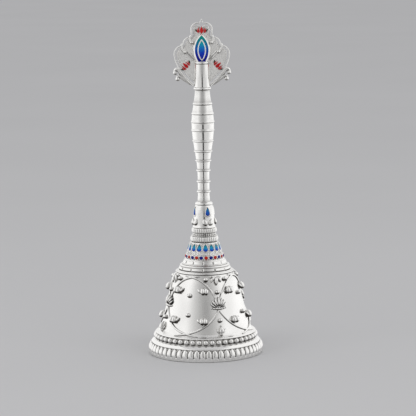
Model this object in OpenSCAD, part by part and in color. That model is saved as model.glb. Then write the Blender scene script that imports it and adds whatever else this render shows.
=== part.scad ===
// Ornamental silver prayer hand bell with enamel: a cup-shaped bell on a gadrooned foot,
// a stepped crown, a ringed baluster handle and a lobed crest, with a free-swinging clapper.
// Units are millimetres. The origin is the centre of the mouth plane, +Z runs up the axis
// and the crest faces -Y. Azimuths are measured from the front (-Y) towards +X.

/* [Bell] */
// Radius of the bell wall just above the bead band
waist_r = 27.9; // [27.6:0.1:28.2]
// Radius of the bell wall under the stepped crown
shoulder_r = 18.4; // [18.2:0.1:18.6]
// Thickness of the bell wall
wall = 1.8; // [1.5:0.1:2.0]
// Azimuth of the first of the four open blossoms
blossom_azimuth = 20; // [0:5:90]

/* [Foot] */
// Largest radius of the gadrooned foot band
foot_r = 35.2; // [34.8:0.1:35.6]
// Number of tongues round the foot
tongue_count = 58; // [40:2:70]
// Number of beads in the bead band
bead_count = 48; // [36:1:48]
// Radius of one bead
bead_r = 1.6; // [1.5:0.05:1.65]

/* [Crown] */
// Number of round cabochons in the dot ring
cabochon_count = 24; // [16:2:24]
// Number of enamel drops round the cone
drop_count = 16; // [12:1:16]
// Number of flutes on each small gadrooned ring
flute_count = 34; // [24:1:40]

/* [Handle] */
// Smallest radius of the grip, low on the handle
grip_waist_r = 3.53; // [3.4:0.01:3.7]
// Largest radius of the grip, at the swelling
grip_swell_r = 6.78; // [6.4:0.01:7.0]

/* [Crest] */
// Width of the rim strip seen from the front
rim_w = 0.9; // [0.7:0.1:1.1]
// Depth of the rim strip from front to back
rim_depth = 2.6; // [2.2:0.1:3.0]
// Thickness of the engraved plate
plate_t = 1.2; // [1.0:0.1:1.4]

/* [Clapper] */
// Radius of the clapper ball
ball_r = 6.5; // [5.5:0.1:6.5]
// Height of the ball's centre above the mouth when the clapper hangs
ball_z = 12.5; // [12:0.1:14]
// Radial clearance of the clapper on its pin
pin_clearance = 0.05; // [0.03:0.01:0.08]

/* [Hidden] */
$fn = 96;

// Heights of the joints between the stacked pieces
lip_z = 1.3;
channel_z = 9.2;
wall_z = 15.5;
shoulder_z = 47.5;
ledge_z = 49.8;
upper_step_z = 51.5;
crown_z = 54.8;
dots_z = 57.8;
cone_z = 60.8;
lower_ring_z = 68.3;
collar_z = 72;
upper_ring_z = 73.7;
knop_z = 77;
grip_z = 91;
swell_z = 140.5;
grip_end_z = 162.3;
tube_end_z = 176.2;
crest_base_z = 178;
skirt_r = 29.2;
ceiling_z = 52.5;

// Above the wall's outer ledge the step rings sit on one cone from ledge_in up to crown_r
ledge_r = 17.6;
ledge_in = 15.4;
crown_r = 11;
ceiling_r = 9.5;
step_in = ledge_in + (crown_r - ledge_in) * (upper_step_z - ledge_z) / (crown_z - ledge_z);

// The tie rod and the bores that it passes through
rod_r = 2;
rod_bore_r = 2.1;
rod_low_z = 47.6;
rod_top_z = 113;

// The clapper's suspension
nut_low_z = 44.6;
nut_floor_z = 46.2;
shank_r = 1.2;
head_r = 1.8;
pin_r = 1.1;
pin_z = 39.3;
fork_w = 7;
slot_w = 3;

// The bell wall's outline is one cubic curve between the bead band and the shoulder
wall_low = [waist_r, wall_z];
wall_low_handle = [waist_r - 3.9, 24.7];
wall_high_handle = [shoulder_r + 4.2, 38.9];
wall_high = [shoulder_r, shoulder_z];
wall_steps = 20;

function cubic(a, b, c, d, t) =
  pow(1 - t, 3) * a + 3 * t * pow(1 - t, 2) * b + 3 * t * t * (1 - t) * c + t * t * t * d;
function wall_point(t) = cubic(wall_low, wall_low_handle, wall_high_handle, wall_high, t);
wall_line = [for (i = [0:wall_steps]) wall_point(i / wall_steps)];
function slope_vector(t) = wall_point(min(t + 0.01, 1)) - wall_point(max(t - 0.01, 0));
function inner_point(t, depth) =
  let (v = slope_vector(t), n = [v[1], -v[0]] / norm(v)) wall_point(t) - depth * n;

// Radius of the outside of the bell at a height, with the straight skirt under the foot bands
shell_table = concat([[0, skirt_r]], [for (p = wall_line) [p[1], p[0]]], [[ledge_z, ledge_r]]);
function wall_r(z) = lookup(z, shell_table);
function wall_tilt(z) = atan2(wall_r(z - 1) - wall_r(z + 1), 2);

function arc(c, r, from, to, steps) =
  [for (i = [0:steps]) let (a = from + (to - from) * i / steps) c + r * [cos(a), sin(a)]];

// Stands its children on the bell wall: local X points out of the wall and Z runs up it
module on_wall(azimuth, z, lift = 0)
  rotate([0, 0, azimuth - 90])
    translate([wall_r(z), 0, z])
      rotate([0, -wall_tilt(z), 0])
        translate([lift, 0, 0]) children();

// The same on a plain cone or cylinder of radius r whose wall leans in by tilt degrees
module on_round(azimuth, r, z, tilt = 0)
  rotate([0, 0, azimuth - 90])
    translate([r, 0, z])
      rotate([0, -tilt, 0]) children();

// A star with count points, whose valleys are the grooves cut round a band
function star(count, point_r, valley_r) =
  [for (i = [0:2 * count - 1])
    let (a = 180 * i / count) (i % 2 == 0 ? point_r : valley_r) * [cos(a), sin(a)]];

module ring_of(count, first = 0)
  for (i = [0:count - 1]) rotate([0, 0, first + 360 * i / count]) children();

module bore(r, z0, z1) translate([0, 0, z0]) cylinder(r = r, h = z1 - z0);

// One petal: a cone from a thick root to a narrow tip, leaning to one side and out of the wall
module petal(length, root_r, tip_r, lean, rise = 10)
  rotate([lean, 0, 0]) rotate([0, rise, 0]) cylinder(r1 = root_r, r2 = tip_r, h = length);

// ---- bell ----

module bell_shell() {
  inner = [for (i = [wall_steps:-1:0]) inner_point(i / wall_steps, wall)];
  color("silver")
    difference() {
      rotate_extrude()
        polygon(concat(
          [[skirt_r - wall, 0], [skirt_r, 0]],
          wall_line,
          [[ledge_r, ledge_z], [ledge_in, ledge_z], [crown_r, crown_z], [0, crown_z],
           [0, ceiling_z], [ceiling_r, ceiling_z]],
          inner));
      bore(rod_bore_r, ceiling_z - 1, crown_z + 1);
    }
}

module foot_gadroon_band() {
  ovolo = [
    [foot_r - 0.4, lip_z], [foot_r, 2.6], [foot_r - 0.1, 3.8], [foot_r - 0.6, 5.4],
    [foot_r - 1.5, 6.9], [foot_r - 2.6, 8.1], [foot_r - 4, channel_z]];
  color("silver") {
    rotate_extrude()
      polygon([[skirt_r, 0], [foot_r - 0.7, 0], [foot_r - 0.4, lip_z], [wall_r(lip_z), lip_z]]);
    intersection() {
      rotate_extrude()
        polygon(concat([[wall_r(lip_z), lip_z]], ovolo, [[wall_r(channel_z), channel_z]]));
      translate([0, 0, lip_z])
        linear_extrude(height = channel_z) polygon(star(tongue_count, foot_r + 0.6, foot_r - 0.9));
    }
  }
}

module bead_channel() {
  color("silver")
    rotate_extrude()
      polygon([
        [wall_r(channel_z), channel_z], [foot_r - 4, channel_z], [31.1, 9.5], [29.6, 9.7], [29.2, 10.4],
        [29.2, 12.4], [30.4, 12.9], [30.7, 13.25], [30.2, 13.7], [29.3, 14.2], [28.5, 14.8],
        [waist_r, wall_z]]);
}

bead_ring_r = 30.2;
bead_z = 11.1;

module foot_beads() {
  color("silver")
    ring_of(bead_count) translate([bead_ring_r, 0, bead_z]) sphere(r = bead_r);
}

// ---- relief on the bell wall, repeated on four axes ----

mid_turn = 45;
vine_r = 0.6;
vine_end = 54;
vine_steps = 9;

// Height of a vine strand at a turn of a degrees from its blossom
function vine_high(a) = min(48.8, 33 + 16.7 * (1 - exp(-a / 16)));
function vine_low(a) = max(16.2, 30 - 17.2 * (1 - exp(-a / 24)));

module vine(side, low)
  for (i = [0:vine_steps - 1])
    let (a = vine_end * pow(i / vine_steps, 1.5), b = vine_end * pow((i + 1) / vine_steps, 1.5))
      hull()
        for (t = [a, b])
          on_wall(side * t, (low ? vine_low(t) : vine_high(t)), 0.1)
            sphere(r = vine_r, $fn = 6);

module vine_wires() {
  color("silver")
    ring_of(4, blossom_azimuth)
      for (side = [-1, 1], low = [false, true]) vine(side, low);
}

// Petals fanned out of one round calyx
module fan(leans, length, shorter, root_r, tip_r, calyx_r) {
  sphere(r = calyx_r);
  for (lean = leans) petal(length - shorter * abs(lean), root_r, tip_r, lean);
}

module open_blossoms() {
  color("silver")
    ring_of(4, blossom_azimuth) on_wall(0, 31.8, 0.3) fan([-60, -30, 0, 30, 60], 5.4, 0.02, 1.1, 0.5, 1.3);
}

module hanging_blossoms() {
  color("silver")
    ring_of(4, blossom_azimuth)
      on_wall(0, 47.2, 0.2) rotate([180, 0, 0]) fan([-50, -25, 0, 25, 50], 3.4, 0.01, 0.95, 0.45, 1.2);
}

module lily_sprays() {
  color("silver")
    ring_of(4, blossom_azimuth) on_wall(0, 16.8, 0.3) fan([-26, 0, 26], 5.2, 0.06, 1, 0.3, 1.15);
}

module lotus_bud() fan([-42, 0, 42], 3.2, 0.01, 1, 0.35, 1.15);

module lotus_buds() {
  color("silver")
    ring_of(4, blossom_azimuth)
      for (side = [-1, 1]) {
        on_wall(side * 21, 40.2, 0.3) lotus_bud();
        on_wall(side * 22.5, 22.8, 0.3) lotus_bud();
      }
}

module granules() {
  granule_r = 1.25;
  color("silver")
    ring_of(4, blossom_azimuth) {
      for (z = [23.4, 40]) on_wall(0, z, 0.4) sphere(r = granule_r);
      for (z = [26.6, 38.1]) on_wall(mid_turn, z, 0.4) sphere(r = granule_r);
      for (side = [-1, 1]) on_wall(side * 18.5, 47.3, 0.4) sphere(r = granule_r);
    }
}

// ---- crown, stacked on the shoulder ----

module lower_step_ring() {
  color("silver")
    rotate_extrude()
      polygon([
        [ledge_in, ledge_z], [17.3, ledge_z], [17.3, 50], [17.7, 50.2], [17.8, 50.6], [17.5, 50.9],
        [16.8, 51], [16.7, upper_step_z], [step_in, upper_step_z]]);
}

module upper_step_ring() {
  color("silver")
    rotate_extrude()
      polygon([[step_in, upper_step_z], [15.8, upper_step_z], [15.6, 52.9], [14.8, 54.2],
               [14.3, crown_z], [crown_r, crown_z]]);
}

module crown_seat() {
  color("silver")
    rotate_extrude()
      polygon([[rod_bore_r, crown_z], [13.8, crown_z], [13.3, 55.9], [12.4, dots_z],
               [rod_bore_r, dots_z]]);
}

cabochon_seat_r = 11.1;
cabochon_z = 59.6;
cabochon_r = 1.08;

module dot_ring() {
  color("silver")
    difference() {
      rotate_extrude()
        polygon([[rod_bore_r, dots_z], [12.1, dots_z], [12.1, 58.2], [11.5, 58.5], [11.2, 60.1],
                 [11.5, 60.4], [11.5, cone_z], [rod_bore_r, cone_z]]);
      ring_of(cabochon_count, 4.7) on_round(0, cabochon_seat_r, cabochon_z) sphere(r = cabochon_r);
    }
}

module cabochons(first)
  ring_of(cabochon_count / 2, first * 360 / cabochon_count + 4.7)
    on_round(0, cabochon_seat_r, cabochon_z) sphere(r = cabochon_r);

module red_cabochons() color("firebrick") cabochons(0);

module blue_cabochons() color("midnightblue") cabochons(1);

// Outline of a drop: a round end of radius r at the origin and a point at height h
function drop_outline(r, h) =
  let (g = acos(r / h)) concat([[0, h]], arc([0, 0], r, 90 + g, 450 - g, 10));

// A drop standing out along local X from depth in to depth out
module drop(r, h, in, out)
  rotate([90, 0, 90]) translate([0, 0, in]) linear_extrude(height = out - in) polygon(drop_outline(r, h));

drop_lean = 17;
drop_r = 1.33;
drop_h = 3.1;
collet_w = 0.35;

module drops_round_cone() ring_of(drop_count, 3.7) on_round(0, 9.54, 64.4, drop_lean) children();

module drop_pocket() drop(drop_r + collet_w, drop_h + 2 * collet_w, -0.7, 3);

module drop_cone() {
  color("silver")
    difference() {
      rotate_extrude()
        polygon([[rod_bore_r, cone_z], [10.7, cone_z], [10.7, 61.4], [10.2, 62.2], [9.1, 65.7],
                 [8.4, lower_ring_z], [rod_bore_r, lower_ring_z]]);
      drops_round_cone() drop_pocket();
    }
}

module drop_collets() {
  color("silver")
    drops_round_cone()
      difference() {
        drop(drop_r + collet_w, drop_h + 2 * collet_w, -0.7, 0.5);
        drop(drop_r, drop_h, -1, 1);
      }
}

module drop_enamels() color("teal") drops_round_cone() drop(drop_r, drop_h, -0.7, 0.4);

// A small torus-shaped ring with upright flutes cut round it
module fluted_ring(z0, z1, r) {
  mid = (z0 + z1) / 2;
  half = (z1 - z0) / 2;
  intersection() {
    rotate_extrude()
      polygon(concat(
        [[rod_bore_r, z0], [r - half * 0.7, z0]],
        [for (a = [-60:30:60]) [r - half * 0.55 * (1 - cos(a)), mid + half * 0.95 * sin(a)]],
        [[r - half * 0.7, z1], [rod_bore_r, z1]]));
    translate([0, 0, z0 - 1]) linear_extrude(height = z1 - z0 + 2) polygon(star(flute_count, r + 0.4, r - 0.4));
  }
}

module lower_gadroon_ring() color("silver") fluted_ring(lower_ring_z, collar_z, 8.5);

module cavetto_collar() {
  color("silver")
    rotate_extrude()
      polygon([[rod_bore_r, collar_z], [8, collar_z], [7.6, 72.5], [7.3, 73],
               [7.1, upper_ring_z], [rod_bore_r, upper_ring_z]]);
}

module upper_gadroon_ring() color("silver") fluted_ring(upper_ring_z, knop_z, 7.7);

knop_azimuth = 21;
knop_drop_r = 1.15;
knop_drop_h = 3.95;

module drops_round_knop() ring_of(4, knop_azimuth) on_round(0, 6.15, 85.8, 5) children();

module knop() {
  color("silver")
    difference() {
      rotate_extrude()
        polygon([[rod_bore_r, knop_z], [6.9, knop_z], [6.8, 78.3], [6.45, 79.5], [6.25, 82.1],
                 [6.25, 86.1], [5.95, 88.5], [5.45, 90.1], [4.9, grip_z], [rod_bore_r, grip_z]]);
      drops_round_knop() drop(knop_drop_r, knop_drop_h, -0.6, 2);
    }
}

module knop_petals() {
  color("silver")
    ring_of(4, knop_azimuth)
      for (side = [-1, 1]) on_round(side * 13, 6.2, 79.7) fan([side * 16], 3.2, 0, 1, 0.35, 1.25);
}

module knop_enamels() color("navy") drops_round_knop() drop(knop_drop_r, knop_drop_h, -0.6, 0.35);

// ---- handle ----

tube_r = 4.7;
tenon_r = 3;
tenon_z = 168.5;

ring_heights = [98.9, 105, 111.8, 117.7, 123.5, 129.8, 136.3, 141.4, 146.4, 152.3];

function swell(t) = t >= 1 ? 0 : (1 + cos(180 * t)) / 2;
function grip_r(z) =
  z < swell_z
    ? grip_waist_r + (grip_swell_r - grip_waist_r) * swell((swell_z - z) / 33)
    : 4.4 + (grip_swell_r - 4.4) * swell((z - swell_z) / 22);
// The rings stand proud least at the swelling and most at the waist
function ring_r(z) = grip_r(z) + 0.3 + 0.12 * (grip_swell_r - grip_r(z));

function ring_outline(z) = [
  [grip_r(z - 1.1), z - 1.1], [grip_r(z) - 0.1, z - 0.5], [ring_r(z), z - 0.2],
  [ring_r(z), z + 0.25], [grip_r(z) + 0.1, z + 0.6]];

module handle_grip() {
  rings = [for (z = ring_heights) each ring_outline(z)];
  color("silver")
    difference() {
      rotate_extrude()
        polygon(concat(
          [[0, grip_z], [5.2, grip_z], [5.3, 91.7], [4.9, 92.4], [3.9, 92.9], [3.7, 94.7]],
          rings,
          [[grip_r(156.5), 156.5], [4.45, 160.2], [4.9, 160.7], [5.25, 161.5], [4.8, grip_end_z],
           [tenon_r, grip_end_z], [tenon_r, tenon_z], [0, tenon_z]]));
      bore(rod_r, grip_z - 1, rod_top_z);
    }
}

// ---- crest ----

module crest_tube() {
  color("silver")
    difference() {
      bore(tube_r, grip_end_z, tube_end_z);
      bore(tenon_r, grip_end_z - 1, tenon_z);
    }
}

module crest_collar() {
  color("silver")
    translate([0, 0, tube_end_z]) cylinder(r = 4.3, h = crest_base_z - tube_end_z);
}

// Right half of the lobed outline, from the top of the crest down to the tube, drawn inset
function crest_half(inset) =
  concat(
    arc([2.5, 197.1], 4.15 - inset, 106, 0, 8),
    [[6.55 - inset, 195.2], [6.35 - inset, 193.6]],
    arc([6.8, 187.9], 4.85 - inset, 92, 0, 8),
    arc([11.5, 182.2], 5.45 - inset, 86, -10, 8),
    [for (i = [1:6])
      let (t = i / 6, a = [16.8 - inset, 180.9], b = [15.2 - inset, 172], c = [5.4 - inset, 162.9 + inset])
        (1 - t) * (1 - t) * a + 2 * t * (1 - t) * b + t * t * c]);
function mirrored(points) = [for (i = [len(points) - 1:-1:0]) [-points[i][0], points[i][1]]];

module crest_outline(inset) {
  half = crest_half(inset);
  polygon(concat(half, mirrored(half)));
}

// Stands a flat outline up in the crest's plane, centred on the axis
module upright(depth)
  translate([0, depth / 2, 0]) rotate([90, 0, 0]) linear_extrude(height = depth) children();

module crest_plate() {
  gap = 1.7;
  color("silver")
    difference() {
      upright(plate_t) crest_outline(gap);
      bore(tube_r, 150, tube_end_z);
      bore(4.3, tube_end_z - 0.1, crest_base_z);
    }
}

module crest_rim() {
  color("silver")
    difference() {
      union() {
        upright(rim_depth)
          difference() {
            crest_outline(0);
            crest_outline(rim_w);
          }
        upright(rim_depth)
          polygon([[-1.4, 201.3], [0, 203.4], [1.4, 201.3], [0.9, 200.9], [0, 202.1], [-0.9, 200.9]]);
      }
      bore(tube_r, 150, tube_end_z);
    }
}

// A raised stem from a notch of the rim to a curl on the plate
module stem(from, to, curl_r)
  hull() {
    translate([from[0], 0, from[1]]) rotate([90, 0, 0]) cylinder(r = 0.6, h = 2.2, center = true, $fn = 16);
    translate([to[0], 0, to[1]]) rotate([90, 0, 0]) cylinder(r = curl_r, h = 2.6, center = true, $fn = 16);
  }

module crest_stems() {
  color("silver")
    for (side = [0, 1])
      mirror([side, 0, 0]) {
        stem([6.4, 192.4], [6.3, 189.4], 0.9);
        stem([11.6, 187.3], [10.2, 183.6], 0.9);
      }
}

module scroll(ball, from) {
  translate([ball[0], 0, ball[1]]) sphere(r = 1.4);
  hull() {
    translate([ball[0], 0, ball[1]]) sphere(r = 0.9, $fn = 16);
    translate([from[0], 0, from[1]]) sphere(r = 0.9, $fn = 16);
  }
}

module crest_scrolls() {
  color("silver")
    difference() {
      for (side = [0, 1])
        mirror([side, 0, 0]) {
          scroll([16.2, 171.1], [13.2, 171.1]);
          scroll([14.8, 167.5], [12, 169.2]);
        }
      bore(tube_r, 150, tube_end_z);
    }
}

// A flat upright drop in the crest's plane, leaning by lean degrees
module flat_drop(x, z, lean, length, half_width, depth, front)
  translate([x, front, z]) rotate([0, lean, 0])
    rotate([90, 0, 0])
      linear_extrude(height = depth)
        polygon([[-half_width, 0.3 * length], [-0.7 * half_width, 0.1 * length], [0, 0],
                 [0.7 * half_width, 0.1 * length], [half_width, 0.3 * length], [0, length]]);

plate_front = -plate_t / 2;

module lotus_red(x, z, lean) {
  flat_drop(x, z, lean, 4.1, 0.8, 0.5, plate_front);
  for (side = [-1, 1])
    flat_drop(x + side * 1.2 * cos(lean), z - side * 1.2 * sin(lean), lean + side * 18, 3, 0.6, 0.45, plate_front);
}

module lotus_green(x, z, lean)
  for (side = [-1, 1])
    flat_drop(x + side * 2.5 * cos(lean), z - side * 2.5 * sin(lean), lean + side * 35, 2.4, 0.45, 0.4, plate_front);

lotus_places = [[0, 194.6, 0], [-8.3, 174.1, -48], [8.3, 174.1, 48]];

module crest_lotus_red() color("crimson") for (p = lotus_places) lotus_red(p[0], p[1], p[2]);

module crest_lotus_green() color("darkgreen") for (p = lotus_places) lotus_green(p[0], p[1], p[2]);

// Pointed oval from z0 to z1, half_w wide at its widest, cut off at the crest collar
module mandorla(z0, z1, half_w) {
  half_h = (z1 - z0) / 2;
  r = (half_h * half_h + half_w * half_w) / (2 * half_w);
  intersection() {
    translate([half_w - r, (z0 + z1) / 2]) circle(r = r);
    translate([r - half_w, (z0 + z1) / 2]) circle(r = r);
    translate([-half_w, crest_base_z]) square([2 * half_w, z1 - crest_base_z + 1]);
  }
}

setting_front = -2.6;
outer_low_z = 175.6;
outer_high_z = 193.6;

module raised(depth, back) translate([0, back, 0]) rotate([90, 0, 0]) linear_extrude(height = depth) children();

module mandorla_setting() {
  color("silver") {
    difference() {
      raised(plate_front - setting_front, plate_front) mandorla(outer_low_z - 1, outer_high_z + 0.9, 5.2);
      raised(1.2, setting_front + 0.8) mandorla(outer_low_z, outer_high_z, 4.1);
    }
  }
}

module mandorla_outer_enamel() {
  color("teal")
    difference() {
      raised(0.6, setting_front + 0.8) mandorla(outer_low_z, outer_high_z, 4.1);
      raised(2, setting_front + 1) mandorla(outer_low_z + 2.6, outer_high_z - 2.4, 2.6);
    }
}

module mandorla_wire() {
  color("silver")
    difference() {
      raised(0.8, setting_front + 0.8) mandorla(outer_low_z + 2.6, outer_high_z - 2.4, 2.6);
      raised(2, setting_front + 1) mandorla(outer_low_z + 3.6, outer_high_z - 3.4, 1.95);
    }
}

module mandorla_inner_enamel() {
  color("mediumblue")
    raised(0.7, setting_front + 0.8) mandorla(outer_low_z + 3.6, outer_high_z - 3.4, 1.95);
}

// ---- inside ----

module tie_rod() color("darkgray") bore(rod_r, rod_low_z, rod_top_z);

module crown_washer() {
  color("darkgray")
    difference() {
      bore(5.5, ceiling_z - 0.8, ceiling_z);
      bore(rod_bore_r, ceiling_z - 2, ceiling_z + 1);
    }
}

module crown_nut() {
  color("darkgray")
    difference() {
      translate([0, 0, nut_low_z]) cylinder(r = 4.6, h = ceiling_z - 0.8 - nut_low_z, $fn = 6);
      bore(rod_r, nut_floor_z, ceiling_z);
      bore(shank_r + pin_clearance, nut_low_z - 1, nut_floor_z + 1);
    }
}

module clapper_fork() {
  head_low = nut_floor_z + 0.1;
  color("silver")
    difference() {
      union() {
        bore(head_r, head_low, rod_low_z - 0.1);
        bore(shank_r, nut_low_z - 1, head_low + 0.5);
        translate([-2.25, -fork_w / 2, pin_z]) cube([4.5, fork_w, nut_low_z - 0.4 - pin_z]);
        translate([0, fork_w / 2, pin_z]) rotate([90, 0, 0]) cylinder(r = 2.25, h = fork_w);
      }
      translate([-5, -slot_w / 2, pin_z - 5]) cube([10, slot_w, 8]);
      translate([0, fork_w, pin_z]) rotate([90, 0, 0]) cylinder(r = pin_r, h = 2 * fork_w);
    }
}

module clapper_pin() {
  color("darkgray")
    translate([0, fork_w / 2 + 0.3, pin_z]) rotate([90, 0, 0]) cylinder(r = pin_r, h = fork_w + 0.6);
}

module clapper_stem() {
  eye_r = 2.4;
  eye_t = slot_w - 0.2;
  color("silver")
    difference() {
      union() {
        translate([0, eye_t / 2, pin_z]) rotate([90, 0, 0]) cylinder(r = eye_r, h = eye_t);
        bore(1.2, ball_z + 4, pin_z - 1.7);
      }
      translate([0, fork_w, pin_z]) rotate([90, 0, 0]) cylinder(r = pin_r + pin_clearance, h = 2 * fork_w);
    }
}

module clapper_ball() {
  color("silver")
    difference() {
      union() {
        translate([0, 0, ball_z]) sphere(r = ball_r);
        bore(2.2, ball_z + ball_r - 0.6, ball_z + ball_r + 1.4);
      }
      bore(1.2, ball_z + 4, ball_z + ball_r + 3);
    }
}

bell_shell();
foot_gadroon_band();
bead_channel();
foot_beads();
vine_wires();
open_blossoms();
hanging_blossoms();
lily_sprays();
lotus_buds();
granules();
lower_step_ring();
upper_step_ring();
crown_seat();
dot_ring();
red_cabochons();
blue_cabochons();
drop_cone();
drop_collets();
drop_enamels();
lower_gadroon_ring();
cavetto_collar();
upper_gadroon_ring();
knop();
knop_petals();
knop_enamels();
handle_grip();
crest_tube();
crest_collar();
crest_plate();
crest_rim();
crest_stems();
crest_scrolls();
crest_lotus_red();
crest_lotus_green();
mandorla_setting();
mandorla_outer_enamel();
mandorla_wire();
mandorla_inner_enamel();
tie_rod();
crown_washer();
crown_nut();
clapper_fork();
clapper_pin();
clapper_stem();
clapper_ball();
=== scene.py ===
"""Looks of the silver prayer hand bell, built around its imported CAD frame.

Lengths are millimetres unless a comment says metres. The bell stands on z = 0, +Z runs up its axis and its
crest faces -Y. Azimuths are degrees from the front (-Y) towards +X.
"""
import functools
import math

import bmesh
import bpy
import numpy as np
from mathutils import Matrix, Vector


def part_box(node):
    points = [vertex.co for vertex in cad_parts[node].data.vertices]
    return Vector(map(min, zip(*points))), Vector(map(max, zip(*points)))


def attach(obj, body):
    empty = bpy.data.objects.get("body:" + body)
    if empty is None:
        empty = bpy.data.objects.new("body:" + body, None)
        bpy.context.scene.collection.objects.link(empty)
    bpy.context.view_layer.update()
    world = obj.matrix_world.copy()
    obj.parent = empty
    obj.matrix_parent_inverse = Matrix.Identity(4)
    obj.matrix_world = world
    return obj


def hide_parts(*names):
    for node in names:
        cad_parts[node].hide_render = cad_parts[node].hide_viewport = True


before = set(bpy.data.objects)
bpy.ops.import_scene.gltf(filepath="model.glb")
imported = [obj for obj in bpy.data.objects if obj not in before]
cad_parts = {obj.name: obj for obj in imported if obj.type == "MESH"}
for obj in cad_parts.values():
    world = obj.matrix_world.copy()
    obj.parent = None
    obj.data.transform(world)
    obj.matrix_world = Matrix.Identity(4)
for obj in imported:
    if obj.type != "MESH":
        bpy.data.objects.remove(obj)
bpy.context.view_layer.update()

MM = 0.001
BELL = "bell"


# ---------------------------------------------------------------- sizes read from the frame

@functools.lru_cache(None)
def corners(node):
    low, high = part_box(node)
    return low / MM, high / MM


def bottom(node):
    return corners(node)[0].z


def top(node):
    return corners(node)[1].z


def span(node):
    return bottom(node), top(node)


def reach(node):
    return corners(node)[1].x


# ---------------------------------------------------------------- small geometry helpers

def cubic(a, b, c, d, t):
    return (1 - t) ** 3 * a + 3 * t * (1 - t) ** 2 * b + 3 * t * t * (1 - t) * c + t ** 3 * d


def arc(centre, radius, start, end, steps):
    """Points of a round stretch, as (x, z) pairs, from angle start to angle end."""
    angles = [math.radians(start + (end - start) * i / steps) for i in range(steps + 1)]
    return [(centre[0] + radius * math.cos(a), centre[1] + radius * math.sin(a)) for a in angles]


EDGE_SHARE = 0.45   # the most of an edge that one rounded corner takes


def eased(points, radius, steps=3):
    """A closed outline with each corner rounded off."""
    rounded = []
    for before, corner, after in zip(points[-1:] + points[:-1], points, points[1:] + points[:1]):
        corner = Vector(corner)
        to_before = Vector(before) - corner
        to_after = Vector(after) - corner
        start = corner + to_before.normalized() * min(radius, EDGE_SHARE * to_before.length)
        end = corner + to_after.normalized() * min(radius, EDGE_SHARE * to_after.length)
        for i in range(steps + 1):
            t = i / steps
            rounded.append(tuple((1 - t) ** 2 * start + 2 * t * (1 - t) * corner + t * t * end))
    return rounded


def dense(points, step):
    """A closed outline with its long edges divided, so that relief has vertices to move."""
    filled = []
    for a, b in zip(points, points[1:] + points[:1]):
        count = max(1, math.ceil(math.dist(a, b) / step))
        filled += [tuple(Vector(a).lerp(Vector(b), i / count)) for i in range(count)]
    return filled


def flowing(points, steps=6):
    """A smooth curve through the points."""
    points = [Vector(p) for p in points]
    ends = [2 * points[0] - points[1]] + points + [2 * points[-1] - points[-2]]
    curve = []
    for a, b, c, d in zip(ends, ends[1:], ends[2:], ends[3:]):
        for i in range(steps):
            t = i / steps
            curve.append(0.5 * (2 * b + t * (c - a) + t * t * (2 * a - 5 * b + 4 * c - d)
                                + t ** 3 * (3 * b - a - 3 * c + d)))
    return curve + [points[-1]]


def smooth_step(x):
    x = np.clip(x, 0, 1)
    return x * x * (3 - 2 * x)


def round_axis(azimuth, radius, z):
    """The point at an azimuth, a radius and a height."""
    a = math.radians(azimuth)
    return Vector((radius * math.sin(a), -radius * math.cos(a), z))


def turns(count):
    """Equal steps of one full turn, in radians."""
    return [2 * math.pi * i / count for i in range(count)]


def above(base, points):
    """(radius, z) points whose heights are counted from base."""
    return [(radius, base + z) for radius, z in points]


# ---------------------------------------------------------------- forms

# The round end of a wire: (way out, share of the radius).
ROUND_END = [(0.0, 1.0), (0.5, 0.87), (0.87, 0.5), (1.0, 0.0)]
CREASE_WIDTH = 0.3


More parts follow.
